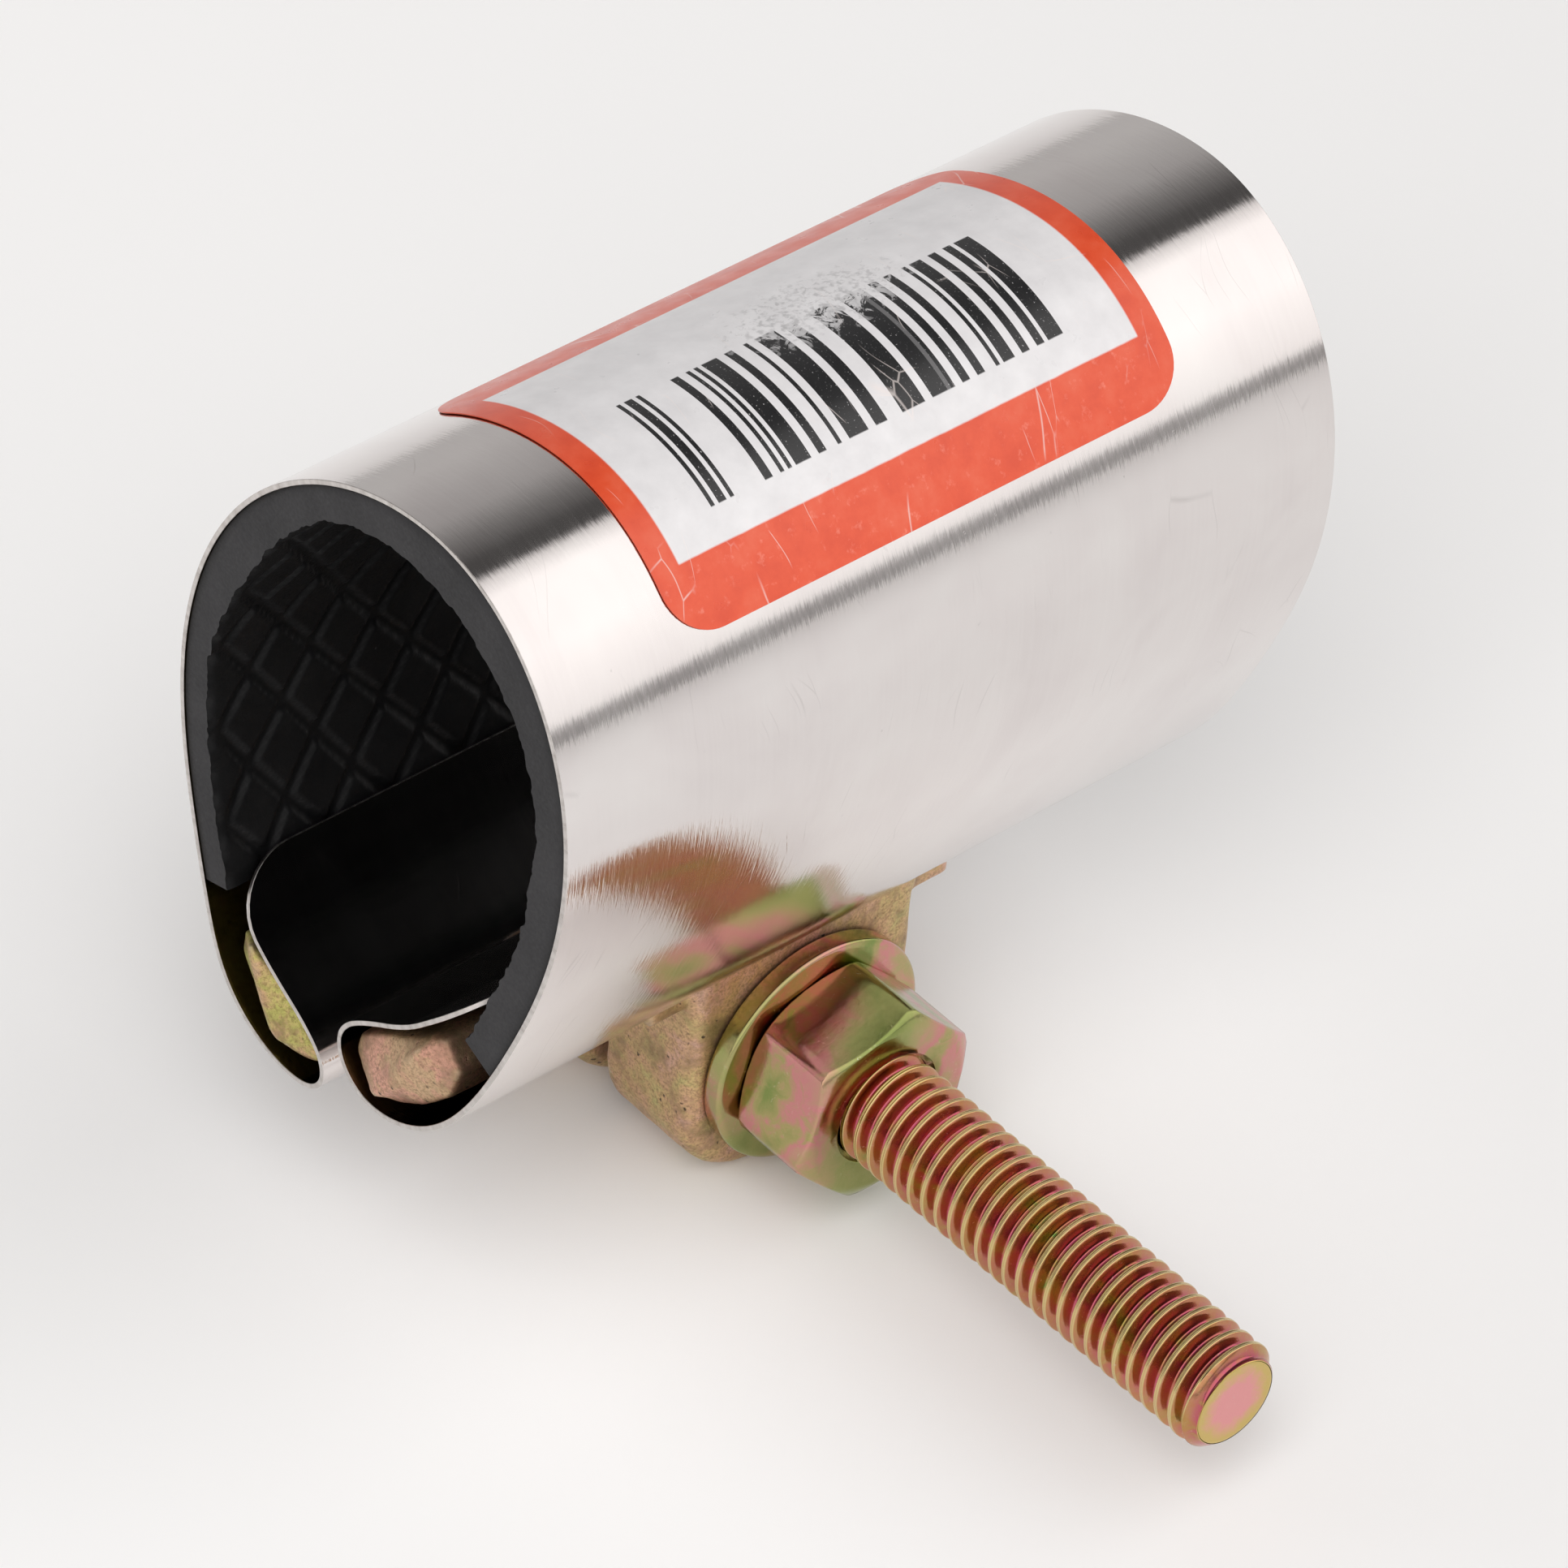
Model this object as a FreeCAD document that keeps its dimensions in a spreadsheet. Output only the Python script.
import FreeCAD, Part
import os, math
import Sketcher
from FreeCAD import Vector as V, Placement, Rotation

# Single-band pipe repair clamp, relaxed, as it lies before it is put on a pipe.
# Frame: X along the bolt towards the nut, Y along the pipe, Z up, millimetres.
# Origin: centre of the rubber seat's round part, at the middle of the band's length.
# The tables below are measured from a datum near it, and every body is placed by DATUM.

doc = FreeCAD.newDocument("pipe_repair_clamp")
sheet = doc.addObject("Spreadsheet::Sheet", "dims")

ROWS = [
    ("band_length", 76.2, "3 in along the pipe"),
    ("band_gauge", 0.55, "stainless sheet"),
    ("flap_corner", 6.0, "round corners of the folded ends"),
    ("gasket_length", 75.8, "rubber mat, just inside the band's edges"),
    ("seat_radius", 16.0, "round part of the relaxed rubber seat"),
    ("bond_gap", 0.12, "adhesive between band and mat"),
    ("window_width", 38.0, "cut-out in each loop for the boss"),
    ("window_corner", 5.0, "corner radius of the cut-outs"),
    ("window_top", -32.5, "upper edge of the cut-outs on the walls"),
    ("window_fold", -37.6, "upper edge of the left cut-out under the fold"),
    ("bolt_height", -46.0, "height of the bolt's axis"),
    ("bar_length", 74.4, "straight part of a lug bar"),
    ("bar_nose", 1.4, "wedge at each bar end"),
    ("boss_width", 23.0, "width of a lug boss"),
    ("boss_drop", 11.5, "from the bolt's axis to the boss's underside"),
    ("boss_corner", 8.0, "bottom corners of the boss"),
    ("boss_gauge_left", 11.9, "left boss along the bolt"),
    ("boss_gauge_right", 11.0, "right boss along the bolt"),
    ("shoulder_width", 31.0, "thicker root between bar and boss"),
    ("bolt_hole_radius", 5.55, "7/16 in clearance hole in the nut-side boss"),
    ("neck_hole", 9.9, "square hole in the head-side boss"),
    ("neck_width", 9.5, "square neck of the bolt"),
    ("neck_length", 5.2, "square neck of the bolt"),
    ("head_radius", 10.6, "round bolt head"),
    ("head_height", 5.0, "round bolt head"),
    ("bolt_length", 76.2, "3 in under the head"),
    ("thread_length", 65.0, "threaded part of the bolt"),
    ("thread_radius", 4.72, "3/8-16 UNC major radius"),
    ("thread_root", 3.80, "3/8-16 UNC root radius"),
    ("thread_pitch", 1.5875, "16 turns per inch"),
    ("end_bevel", 0.9, "bevel at the bolt's free end"),
    ("nut_flats", 15.875, "5/8 in across the flats"),
    ("nut_height", 8.3, "3/8 in hex nut"),
    ("nut_bore", 4.05, "minor radius of the nut's thread"),
    ("nut_thread", 4.82, "major radius of the nut's thread"),
    ("washer_outer", 10.3, "13/16 in washer"),
    ("washer_bore", 5.16, "13/32 in washer"),
    ("washer_gauge", 1.9, "washer"),
    ("label_length", 49.8, "sticker along the pipe"),
    ("label_gauge", 0.10, "sticker"),
]
D = {}
for n, (alias, value, note) in enumerate(ROWS, start=1):
    sheet.set("A%d" % n, alias)
    sheet.set("B%d" % n, repr(value))
    sheet.setAlias("B%d" % n, alias)
    sheet.set("C%d" % n, note)
doc.recompute()
for alias, value, note in ROWS:
    D[alias] = float(sheet.get(alias))

# ---------------------------------------------------------------- section curves
# Each node is x, z and the tangent's angle in degrees. Between two nodes the curve is
# two tangent arcs. The band's path is its outer face, from the left folded end down
# round the left loop, up over the crown, down round the right loop to its folded end.
BAND = [(-19.05, -26.36, -49.1), (-15.92, -30.24, -46.5), (-13.08, -32.55, -33.5), (-8.49, -35.56, -39.0),
        (-6.97, -37.26, -61.1), (-6.57, -38.85, -92.3), (-7.05, -40.27, -125.1), (-8.33, -41.31, -155.3),
        (-10.50, -41.77, -177.8), (-13.35, -41.43, 165.1), (-16.12, -40.27, 149.1), (-18.36, -38.43, 132.1),
        (-20.05, -35.89, 116.2), (-21.64, -31.52, 106.1), (-23.95, -22.52, 102.7), (-25.13, -15.81, 96.6),
        (-25.44, -10.06, 89.2), (-24.98, -4.66, 80.9), (-23.77, 0.46, 72.4), (-21.84, 5.28, 63.9),
        (-19.22, 9.74, 55.2), (-16.04, 13.63, 46.3), (-12.36, 16.91, 37.1), (-8.29, 19.49, 27.6),
        (-3.98, 21.30, 17.7), (0.25, 22.24, 7.0), (4.15, 22.32, -5.2), (7.64, 21.59, -18.6),
        (10.85, 20.06, -32.2), (13.72, 17.76, -45.0), (16.20, 14.70, -57.0), (18.11, 10.96, -68.3),
        (19.39, 6.65, -78.5), (19.96, 1.80, -87.7), (19.77, -3.50, -96.1), (18.76, -9.20, -103.7),
        (16.83, -15.50, -109.9), (13.74, -23.11, -114.2), (10.74, -29.04, -120.4), (8.05, -32.91, -130.4),
        (5.37, -35.46, -143.3), (2.55, -37.06, -158.1), (-0.17, -37.71, -176.2), (-2.28, -37.46, 160.7),
        (-3.92, -36.43, 134.9), (-4.92, -34.83, 108.7), (-5.06, -33.11, 79.4), (-4.29, -31.47, 52.3),
        (-2.14, -29.58, 34.5), (2.62, -26.44, 37.4), (6.22, -23.08, 44.0), (9.62, -19.81, 44.0)]
MAT_BACK = [(-22.19, -29.55, 105.0), (-24.35, -20.65, 101.3), (-25.28, -14.32, 94.9), (-25.39, -8.67, 87.2),
            (-24.75, -3.40, 78.9), (-23.36, 1.67, 70.4), (-21.27, 6.39, 61.8), (-18.51, 10.72, 53.0),
            (-15.18, 14.49, 44.0), (-11.40, 17.61, 34.8), (-7.28, 19.99, 25.4), (-2.97, 21.60, 15.3),
            (1.21, 22.34, 4.3), (4.99, 22.22, -8.3), (8.42, 21.30, -21.8), (11.53, 19.61, -35.1),
            (14.34, 17.11, -47.8), (16.69, 13.90, -59.6), (18.45, 10.05, -70.7), (19.57, 5.63, -80.6),
            (19.99, 0.65, -89.7), (19.62, -4.70, -97.9), (18.44, -10.46, -105.1), (16.27, -17.03, -110.9),
            (13.06, -24.58, -115.2)]
r0 = D["seat_radius"]
SEAT_X, SEAT_Z = -0.1, 1.5
DATUM = V(-SEAT_X, 0, -SEAT_Z)
SEAT = [(SEAT_X + r0 * math.cos(math.radians(a)), SEAT_Z + r0 * math.sin(math.radians(a)), a - 90.0) for a in (140, 103, 66, 29, -8)]
MAT_FACE = [(-19.03, -28.68, 101.0), (-20.74, -21.91, 103.5), (-21.71, -16.45, 96.3), (-22.17, -9.25, 91.2),
            (-21.54, -5.04, 76.0), (-19.40, 0.30, 65.5)] + SEAT + \
           [(15.17, -6.24, -98.0), (14.36, -10.05, -106.7), (11.86, -16.98, -111.2), (9.42, -22.66, -117.0)]
STICKER = [(-13.86, 15.70, 40.7), (-9.64, 18.73, 30.7), (-5.11, 20.91, 20.4), (-0.54, 22.13, 9.1),
           (3.66, 22.36, -3.5), (7.44, 21.66, -17.8), (10.85, 20.06, -32.2), (13.92, 17.56, -45.9),
           (16.48, 14.24, -58.5)]


def unit(angle):
    return (math.cos(angle), math.sin(angle))


def piece(p, q, t):
    # circular arc from p with tangent t to q: the three points and the three tangents
    vx, vz = q[0] - p[0], q[1] - p[1]
    length = math.hypot(vx, vz)
    chord = (vx / length, vz / length)
    phi = math.atan2(chord[0] * t[1] - chord[1] * t[0], chord[0] * t[0] + chord[1] * t[1])
    lift = 0.5 * length * math.tan(phi / 2.0)
    mid = (0.5 * (p[0] + q[0]) - chord[1] * lift, 0.5 * (p[1] + q[1]) + chord[0] * lift)
    c, s = math.cos(-phi), math.sin(-phi)
    end = (chord[0] * c - chord[1] * s, chord[0] * s + chord[1] * c)
    return (p, mid, q), (t, chord, end)


def chain(nodes, offset):
    # the curve through the nodes, moved sideways: positive is to the right of travel
    arcs = []
    for (x0, z0, a0), (x1, z1, a1) in zip(nodes[:-1], nodes[1:]):
        t0, t1 = unit(math.radians(a0)), unit(math.radians(a1))
        v = (x1 - x0, z1 - z0)
        st = (t0[0] + t1[0], t0[1] + t1[1])
        vs = v[0] * st[0] + v[1] * st[1]
        k = 2.0 * (1.0 - (t0[0] * t1[0] + t0[1] * t1[1]))
        vv = v[0] ** 2 + v[1] ** 2
        d = vv / (2.0 * vs) if k < 1e-9 else (-vs + math.sqrt(vs * vs + k * vv)) / k
        j = (0.5 * (x0 + d * t0[0] + x1 - d * t1[0]), 0.5 * (z0 + d * t0[1] + z1 - d * t1[1]))
        first, ft = piece((x0, z0), j, t0)
        second, s2 = piece(j, (x1, z1), ft[2])
        for pts, tan in ((first, ft), (second, (s2[0], s2[1], t1))):
            arcs.append([V(p[0] + offset * t[1], p[1] - offset * t[0], 0) for p, t in zip(pts, tan)])
    return arcs


def curve(a, m, b):
    # a line where the arc is flat
    bow = (m - (a + b) * 0.5).Length
    return Part.LineSegment(a, b) if bow < 1e-4 else Part.Arc(a, m, b)


def outline(front, back):
    # closed outline from two chains that run the same way
    out = [curve(*p) for p in front]
    out.append(Part.LineSegment(front[-1][2], back[-1][2]))
    out += [curve(p[2], p[1], p[0]) for p in reversed(back)]
    out.append(Part.LineSegment(back[0][0], front[0][0]))
    return out


# ---------------------------------------------------------------- helpers
def body(name):
    b = doc.addObject("PartDesign::Body", name)
    b.Label = name
    return b


def plane(b, role):
    for f in b.Origin.OriginFeatures:
        if f.Role == role:
            return f
    raise ValueError(role)


def sketch(b, name, role, shift=None):
    s = b.newObject("Sketcher::SketchObject", name)
    s.AttachmentSupport = [(plane(b, role), "")]
    s.MapMode = "FlatFace"
    if shift is not None:
        s.AttachmentOffset = Placement(V(0, 0, shift), Rotation())
    return s


def loop(s, points):
    pts = [V(x, y, 0) for x, y in points]
    for p, q in zip(pts, pts[1:] + pts[:1]):
        s.addGeometry(Part.LineSegment(p, q), False)


def circle(s, x, y, r, alias=None):
    g = s.addGeometry(Part.Circle(V(x, y, 0), V(0, 0, 1), r), False)
    if alias:
        c = s.addConstraint(Sketcher.Constraint("Radius", g, r))
        s.setExpression("Constraints[%d]" % c, "dims." + alias)


def both_ways(feature, length):
    feature.SideType = "Symmetric"
    feature.setExpression("Length", length)


def make(b, kind, name, profile):
    f = b.newObject("PartDesign::" + kind, name)
    f.Profile = profile
    return f


def check(b, what, before=None, sign=0):
    doc.recompute()
    shape = b.Shape
    if shape.isNull() or not shape.isValid():
        raise ValueError("bad shape after " + what)
    if before is not None and sign * (shape.Volume - before) <= 1e-3:
        raise ValueError("%s changed nothing (%g to %g)" % (what, before, shape.Volume))
    return shape.Volume


half = D["window_width"] / 2.0
corner = D["window_corner"]


def rounded_top(x0, x1, z0, z1, r):
    # rectangle with two round upper corners
    a = math.sqrt(0.5)
    return [Part.LineSegment(V(x0, z0, 0), V(x1, z0, 0)),
            Part.LineSegment(V(x1, z0, 0), V(x1, z1 - r, 0)),
            Part.Arc(V(x1, z1 - r, 0), V(x1 - r + r * a, z1 - r + r * a, 0), V(x1 - r, z1, 0)),
            Part.LineSegment(V(x1 - r, z1, 0), V(x0 + r, z1, 0)),
            Part.Arc(V(x0 + r, z1, 0), V(x0 + r - r * a, z1 - r + r * a, 0), V(x0, z1 - r, 0)),
            Part.LineSegment(V(x0, z1 - r, 0), V(x0, z0, 0))]


# ---------------------------------------------------------------- band
band = body("band")
s = sketch(band, "band_section", "XZ_Plane")
for g in outline(chain(BAND, 0.0), chain(BAND, D["band_gauge"])):
    s.addGeometry(g, False)
pad = make(band, "Pad", "band_sheet", s)
both_ways(pad, "dims.band_length")
vol = check(band, "band pad")
# the folded ends have round corners
tips = []
for i, e in enumerate(pad.Shape.Edges, start=1):
    p, q = e.Vertexes[0].Point, e.Vertexes[-1].Point
    if abs(abs(p.y) - D["band_length"] / 2) < 1e-3 and abs(p.y - q.y) < 1e-3 and e.Length < 0.6 and abs(e.Length - D["band_gauge"]) < 1e-3:
        tips.append("Edge%d" % i)
if len(tips) != 4:
    raise ValueError("found %d tip edges" % len(tips))
fil = band.newObject("PartDesign::Fillet", "flap_corners")
fil.Base = (pad, tips)
fil.setExpression("Radius", "dims.flap_corner")
vol = check(band, "flap corners", vol, -1)
# cut-outs: right loop, left loop's wall side, left loop's underside
s = sketch(band, "window_right", "YZ_Plane", -5.85)
for g in rounded_top(-half, half, -44.0, D["window_top"], corner):
    s.addGeometry(g, False)
cut = make(band, "Pocket", "window_right_cut", s)
cut.Length = 20.0
cut.Reversed = True
vol = check(band, "right window", vol, -1)
s = sketch(band, "window_left", "YZ_Plane", -14.5)
for g in rounded_top(-half, half, -44.0, D["window_top"], corner):
    s.addGeometry(g, False)
cut = make(band, "Pocket", "window_left_cut", s)
cut.Length = 12.0
vol = check(band, "left window", vol, -1)
s = sketch(band, "window_fold", "YZ_Plane", -14.6)
for g in rounded_top(-half, half, -44.0, D["window_fold"], 2.0):
    s.addGeometry(g, False)
cut = make(band, "Pocket", "window_fold_cut", s)
cut.Length = 8.7
cut.Reversed = True
vol = check(band, "fold window", vol, -1)

# ---------------------------------------------------------------- gasket
gasket = body("gasket")
s = sketch(gasket, "gasket_section", "XZ_Plane")
for g in outline(chain(MAT_BACK, D["band_gauge"] + D["bond_gap"]), chain(MAT_FACE, 0.0)):
    s.addGeometry(g, False)
pad = make(gasket, "Pad", "gasket_mat", s)
both_ways(pad, "dims.gasket_length")
check(gasket, "gasket")

# ---------------------------------------------------------------- label
label = body("label")
s = sketch(label, "label_section", "XZ_Plane")
for g in outline(chain(STICKER, -0.08 - D["label_gauge"]), chain(STICKER, -0.08)):
    s.addGeometry(g, False)
pad = make(label, "Pad", "label_film", s)
both_ways(pad, "dims.label_length")
check(label, "label")


# ---------------------------------------------------------------- lugs
def lug(name, bar, ridge, boss_x0, boss_gauge, boss_top, block, shoulder, hole):
    b = body(name)
    s = sketch(b, name + "_bar", "XZ_Plane")
    loop(s, bar)
    pad = make(b, "Pad", name + "_bar_pad", s)
    both_ways(pad, "dims.bar_length")
    check(b, name + " bar")
    cx = sum(p[0] for p in bar) / len(bar)
    cz = sum(p[1] for p in bar) / len(bar)
    # wedge at each end: the outline drawn in to a narrow ridge
    (ax, az), (bx, bz) = ridge
    rl = math.hypot(bx - ax, bz - az)
    ux, uz = (bx - ax) / rl, (bz - az) / rl
    narrow = []
    for x, z in bar:
        along, across = (x - cx) * ux + (z - cz) * uz, (z - cz) * ux - (x - cx) * uz
        narrow.append((0.5 * (ax + bx) + 0.78 * along * ux - 0.09 * across * uz, 0.5 * (az + bz) + 0.78 * along * uz + 0.09 * across * ux))
    for side in (-1, 1):
        tag = "near" if side < 0 else "far"
        base = sketch(b, "%s_nose_base_%s" % (name, tag), "XZ_Plane", -side * D["bar_length"] / 2)
        loop(base, bar)
        tip = sketch(b, "%s_nose_tip_%s" % (name, tag), "XZ_Plane", -side * (D["bar_length"] / 2 + D["bar_nose"]))
        loop(tip, narrow)
        loft = b.newObject("PartDesign::AdditiveLoft", "%s_nose_%s" % (name, tag))
        loft.Profile = base
        loft.Sections = [tip]
        loft.Ruled = True
        check(b, name + " nose")
    # boss: round-bottomed block round the bolt
    w, zb, r = D["boss_width"] / 2, D["bolt_height"] - D["boss_drop"], D["boss_corner"]
    a = math.sqrt(0.5)
    s = sketch(b, name + "_boss", "YZ_Plane", boss_x0)
    for g in (Part.LineSegment(V(w, boss_top, 0), V(-w, boss_top, 0)),
              Part.LineSegment(V(-w, boss_top, 0), V(-w, zb + r, 0)),
              Part.Arc(V(-w, zb + r, 0), V(-w + r - r * a, zb + r - r * a, 0), V(-w + r, zb, 0)),
              Part.LineSegment(V(-w + r, zb, 0), V(w - r, zb, 0)),
              Part.Arc(V(w - r, zb, 0), V(w - r + r * a, zb + r - r * a, 0), V(w, zb + r, 0)),
              Part.LineSegment(V(w, zb + r, 0), V(w, boss_top, 0))):
        s.addGeometry(g, False)
    pad = make(b, "Pad", name + "_boss_pad", s)
    pad.setExpression("Length", "dims." + boss_gauge)
    vol = check(b, name + " boss")
    # soften the boss's outline
    x1 = boss_x0 + D[boss_gauge]
    rim = []
    for i, e in enumerate(pad.Shape.Edges, start=1):
        c = e.BoundBox
        if c.XLength < 1e-4 and (abs(c.XMin - boss_x0) < 1e-4 or abs(c.XMin - x1) < 1e-4) and c.ZMax < D["bolt_height"] + 6.5 \
                and c.ZMin < D["bolt_height"] + 3.0:
            rim.append("Edge%d" % i)
    if rim:
        f = b.newObject("PartDesign::Fillet", name + "_boss_round")
        f.Base = (pad, rim)
        f.Radius = 1.6
        vol = check(b, name + " boss fillet", vol, -1)
    # block that ties the boss to the bar, and a wider shoulder
    for tag, (bx0, bx1, bz0, bz1), width in (("tie", block, D["boss_width"]), ("shoulder", shoulder, D["shoulder_width"])):
        s = sketch(b, "%s_%s" % (name, tag), "XZ_Plane")
        loop(s, [(bx0, bz0), (bx1, bz0), (bx1, bz1), (bx0, bz1)])
        pad = make(b, "Pad", "%s_%s_pad" % (name, tag), s)
        both_ways(pad, "dims." + ("boss_width" if tag == "tie" else "shoulder_width"))
        check(b, name + tag)
    vol = check(b, name)
    # hole for the bolt
    s = sketch(b, name + "_hole", "YZ_Plane", boss_x0 - 1.0)
    if hole == "square":
        q = D["neck_hole"] / 2
        z = D["bolt_height"]
        loop(s, [(-q, z - q), (q, z - q), (q, z + q), (-q, z + q)])
    else:
        circle(s, 0, D["bolt_height"], D["bolt_hole_radius"], "bolt_hole_radius")
    cut = make(b, "Pocket", name + "_hole_cut", s)
    cut.Length = D[boss_gauge] + 2.0
    cut.Reversed = True
    check(b, name + " hole", vol, -1)
    return b


BAR_LEFT = [(-7.7, -37.9), (-8.1, -39.2), (-10.0, -39.9), (-13.0, -39.8), (-15.6, -37.8), (-18.0, -34.4),
            (-17.8, -32.2), (-16.3, -31.5), (-14.3, -32.8), (-11.7, -34.9), (-9.0, -36.8)]
BAR_RIGHT = [(-3.6, -32.4), (-1.2, -30.5), (1.2, -29.0), (3.5, -27.3), (5.0, -26.1), (6.4, -25.6), (8.4, -28.0),
             (7.4, -31.1), (4.4, -34.1), (2.0, -35.7), (-0.5, -36.3), (-2.6, -35.6), (-3.9, -34.2)]
lug_head = lug("lug_head_side", BAR_LEFT, ((-12.7, -38.6), (-15.0, -32.4)), -19.2, "boss_gauge_left", -38.6,
               (-17.6, -12.0, -40.0, -35.4), (-16.4, -8.4, -40.6, -39.4), "square")
lug_nut = lug("lug_nut_side", BAR_RIGHT, ((0.2, -35.6), (4.1, -28.2)), -4.6, "boss_gauge_right", -33.2,
              (-3.4, 6.0, -36.5, -33.4), (-3.2, 5.4, -37.6, -34.6), "round")

# ---------------------------------------------------------------- bolt, in its own frame on the X axis
free_end = 57.0
seat = free_end - D["bolt_length"]
R, rr, P = D["thread_radius"], D["thread_root"], D["thread_pitch"]
bolt = body("bolt")
s = sketch(bolt, "bolt_profile", "XZ_Plane")
hr, hh, ch = D["head_radius"], D["head_height"], D["end_bevel"]
shank = R
sag = V(seat - hh * 0.72, hr * 0.62, 0)
for g in (Part.LineSegment(V(seat - hh, 0, 0), V(free_end, 0, 0)),
          Part.LineSegment(V(free_end, 0, 0), V(free_end, R - ch, 0)),
          Part.LineSegment(V(free_end, R - ch, 0), V(free_end - ch, R, 0)),
          Part.LineSegment(V(free_end - ch, R, 0), V(seat, R, 0)),
          Part.LineSegment(V(seat, R, 0), V(seat, hr, 0)),
          Part.LineSegment(V(seat, hr, 0), V(seat - 0.9, hr, 0)),
          Part.Arc(V(seat - 0.9, hr, 0), sag, V(seat - hh, 1.0, 0)),
          Part.LineSegment(V(seat - hh, 1.0, 0), V(seat - hh, 0, 0))):
    s.addGeometry(g, False)
rev = make(bolt, "Revolution", "bolt_blank", s)
rev.ReferenceAxis = (s, ["H_Axis"])
rev.Angle = 360.0
vol = check(bolt, "bolt blank")
s = sketch(bolt, "bolt_neck", "YZ_Plane", seat)
q = D["neck_width"] / 2
loop(s, [(-q, -q), (q, -q), (q, q), (-q, q)])
pad = make(bolt, "Pad", "bolt_neck_pad", s)
pad.setExpression("Length", "dims.neck_length")
vol = check(bolt, "neck", vol, 1)
slope = math.tan(math.radians(30))
x0 = free_end - D["thread_length"]
hw = (P - 0.25) / 2.0
s = sketch(bolt, "bolt_groove", "XZ_Plane")
loop(s, [(x0 - hw + slope * (R - rr), rr), (x0 + hw - slope * (R - rr), rr),
         (x0 + hw + slope * 0.18, R + 0.18), (x0 - hw - slope * 0.18, R + 0.18)])
hel = make(bolt, "SubtractiveHelix", "bolt_thread", s)
hel.ReferenceAxis = (s, ["H_Axis"])
hel.Mode = "pitch-height-angle"
hel.Pitch = P
hel.Height = D["thread_length"] + 2.0
hel.LeftHanded = False
hel.Reversed = False
vol = check(bolt, "bolt thread", vol, -1)
print("bolt", bolt.Shape.BoundBox, len(bolt.Shape.Solids))
bolt.Placement = Placement(DATUM + V(0, 0, D["bolt_height"]), Rotation())

# ---------------------------------------------------------------- washer
lug_face = -4.6 + D["boss_gauge_right"]
wx = lug_face + 0.05
washer = body("washer")
s = sketch(washer, "washer_ring", "YZ_Plane", wx)
circle(s, 0, 0, D["washer_outer"], "washer_outer")
circle(s, 0, 0, D["washer_bore"], "washer_bore")
pad = make(washer, "Pad", "washer_disc", s)
pad.setExpression("Length", "dims.washer_gauge")
vol = check(washer, "washer")
f = washer.newObject("PartDesign::Fillet", "washer_edges")
f.Base = (pad, ["Edge%d" % i for i, e in enumerate(pad.Shape.Edges, start=1)
                if e.BoundBox.XLength < 1e-4 and e.Length > 6 * D["washer_outer"] * 0.95 and abs(e.BoundBox.YLength - 2 * D["washer_outer"]) < 0.01])
f.Radius = 0.4
check(washer, "washer edges", vol, -1)
washer.Placement = Placement(DATUM + V(0, 0, D["bolt_height"]), Rotation())

# ---------------------------------------------------------------- nut
nx = wx + D["washer_gauge"] + 0.02
nut = body("nut")
s = sketch(nut, "nut_hexagon", "YZ_Plane", nx)
ra = D["nut_flats"] / math.sqrt(3.0)
loop(s, [(ra * math.cos(math.radians(60 * k + 15)), ra * math.sin(math.radians(60 * k + 15))) for k in range(6)])
pad = make(nut, "Pad", "nut_block", s)
pad.setExpression("Length", "dims.nut_height")
vol = check(nut, "nut block")
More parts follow.
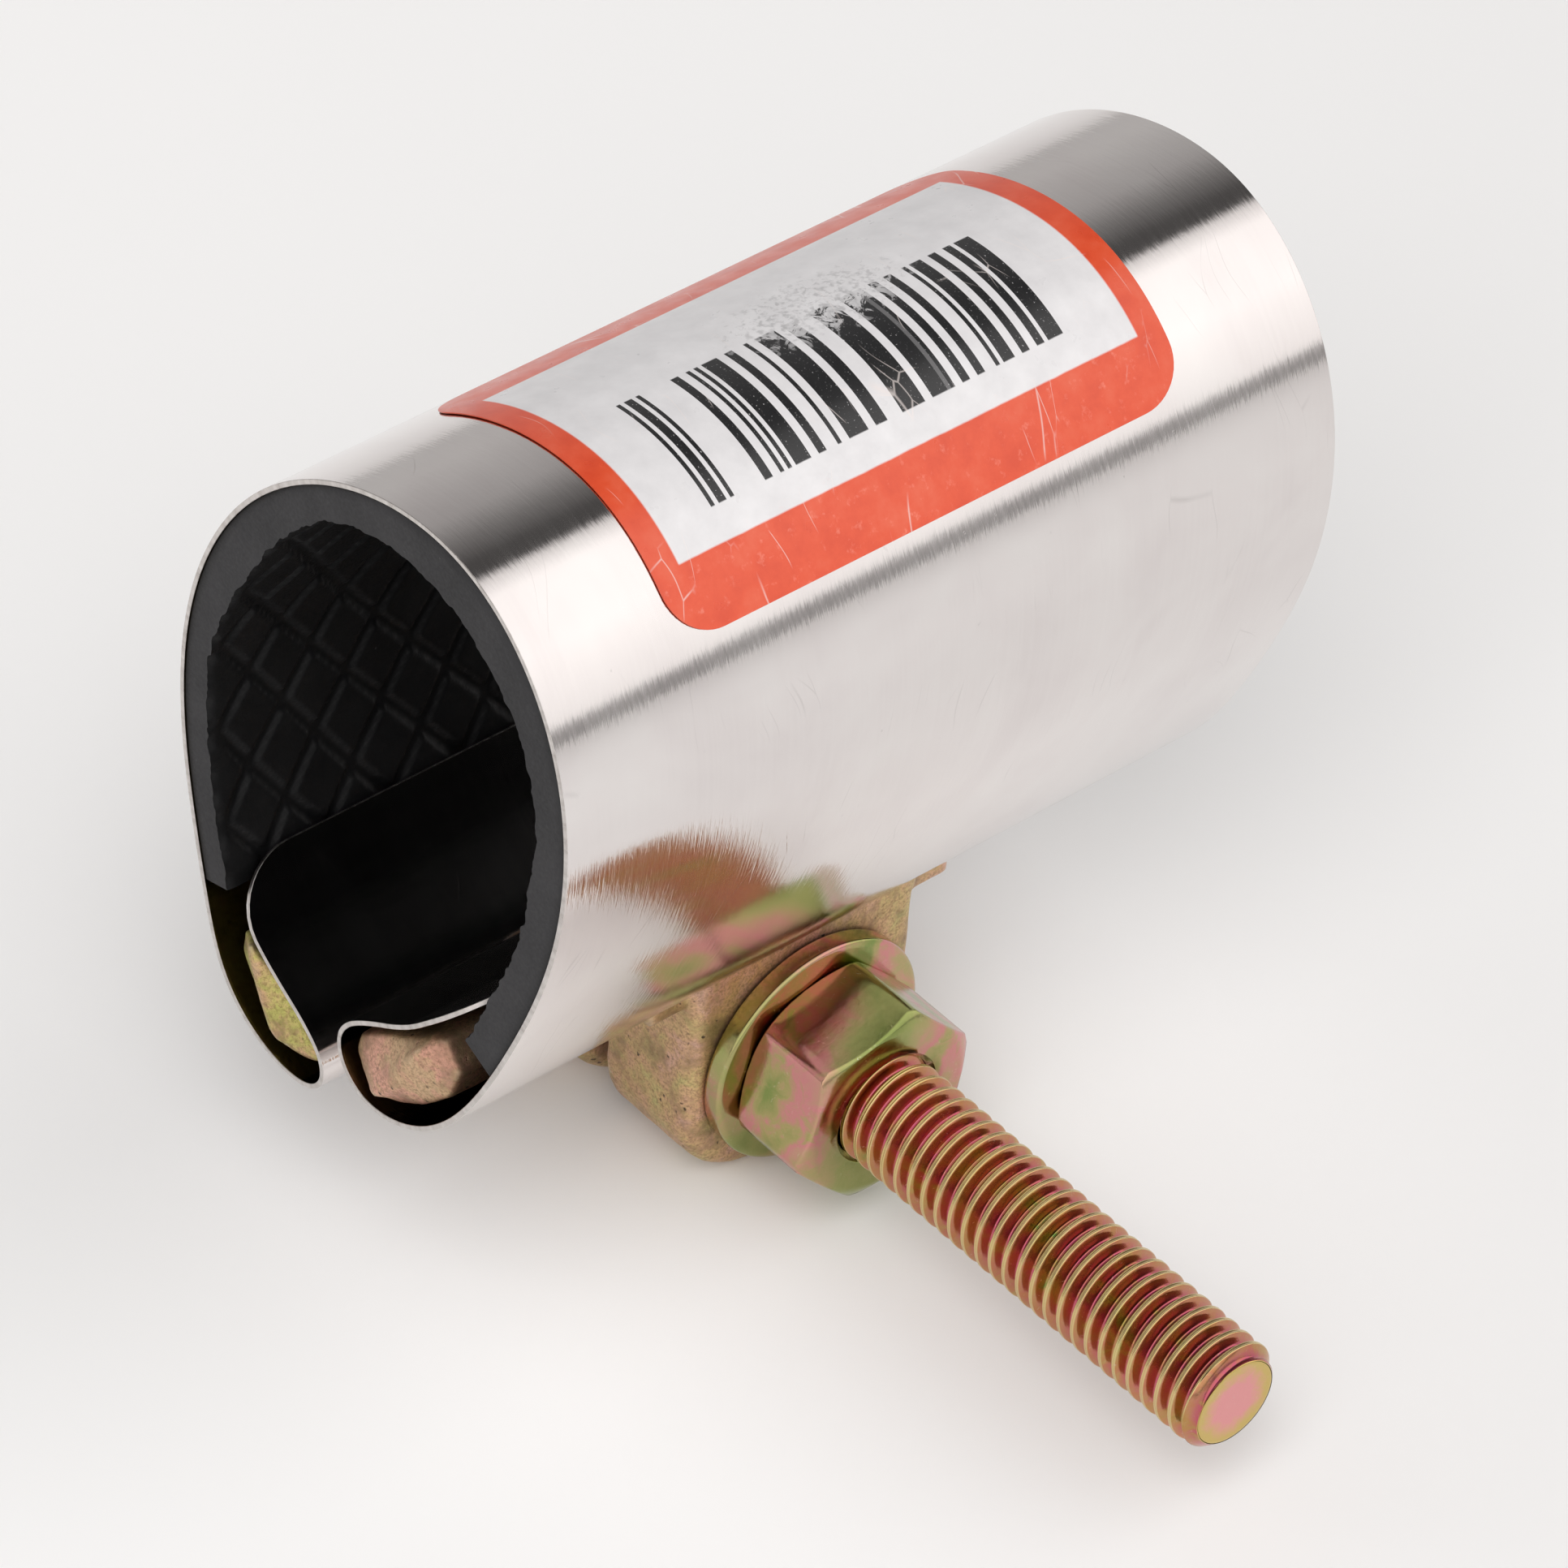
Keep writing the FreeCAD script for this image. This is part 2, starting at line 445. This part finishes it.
# both faces are turned at 30 degrees
n1 = nx + D["nut_height"]
rf = D["nut_flats"] / 2 - 0.15
tall = ra + 1.0
s = sketch(nut, "nut_turning", "XZ_Plane")
loop(s, [(nx, rf), (nx + (tall - rf) * slope, tall), (nx, tall)])
loop(s, [(n1, rf), (n1, tall), (n1 - (tall - rf) * slope, tall)])
gro = make(nut, "Groove", "nut_turned", s)
gro.ReferenceAxis = (s, ["H_Axis"])
gro.Angle = 360.0
vol = check(nut, "nut turning", vol, -1)
s = sketch(nut, "nut_hole", "XZ_Plane")
b0, ct = D["nut_bore"], 5.15
loop(s, [(nx - 1, 0), (n1 + 1, 0), (n1 + 1, ct + 1.0), (n1, ct), (n1 - (ct - b0), b0),
         (nx + (ct - b0), b0), (nx, ct), (nx - 1, ct + 1.0)])
gro = make(nut, "Groove", "nut_bored", s)
gro.ReferenceAxis = (s, ["H_Axis"])
gro.Angle = 360.0
vol = check(nut, "nut bore", vol, -1)
# the nut's groove follows the bolt's ridge, with a running clearance all round
c0 = 0.125 - (D["nut_thread"] - R) * slope + 0.115
start = x0 + P / 2.0
while start < nx - 2.2 * P:
    start += P
s = sketch(nut, "nut_groove", "XZ_Plane")
lo = b0 - 0.15
loop(s, [(start - c0, D["nut_thread"]), (start + c0, D["nut_thread"]),
         (start + c0 + slope * (D["nut_thread"] - lo), lo), (start - c0 - slope * (D["nut_thread"] - lo), lo)])
hel = make(nut, "SubtractiveHelix", "nut_thread_cut", s)
hel.ReferenceAxis = (s, ["H_Axis"])
hel.Mode = "pitch-height-angle"
hel.Pitch = P
hel.Height = D["nut_height"] + 4 * P
hel.LeftHanded = False
hel.Reversed = False
vol = check(nut, "nut thread", vol, -1)
nut.Placement = Placement(DATUM + V(0, 0, D["bolt_height"]), Rotation())

# ---------------------------------------------------------------- place, check and write
for b in (band, gasket, lug_head, lug_nut):
    b.Placement = Placement(DATUM, Rotation())
label.Placement = Placement(DATUM + V(0, -0.5, 0), Rotation())
doc.recompute()
for o in doc.Objects:
    if "Invalid" in o.State or "Error" in o.State:
        raise ValueError("failed: %s %s" % (o.Name, o.State))
os.makedirs("parts", exist_ok=True)
for b in (band, gasket, label, lug_head, lug_nut, bolt, washer, nut):
    shape = b.Shape
    if shape.isNull() or not shape.isValid() or len(shape.Solids) != 1:
        raise ValueError("bad sub-part " + b.Label)
    shape.exportStep("parts/%s.step" % b.Label)
    bb = shape.BoundBox
    print("%-14s vol %9.1f  x %7.2f..%7.2f  y %7.2f..%7.2f  z %7.2f..%7.2f" % (
        b.Label, shape.Volume, bb.XMin, bb.XMax, bb.YMin, bb.YMax, bb.ZMin, bb.ZMax))
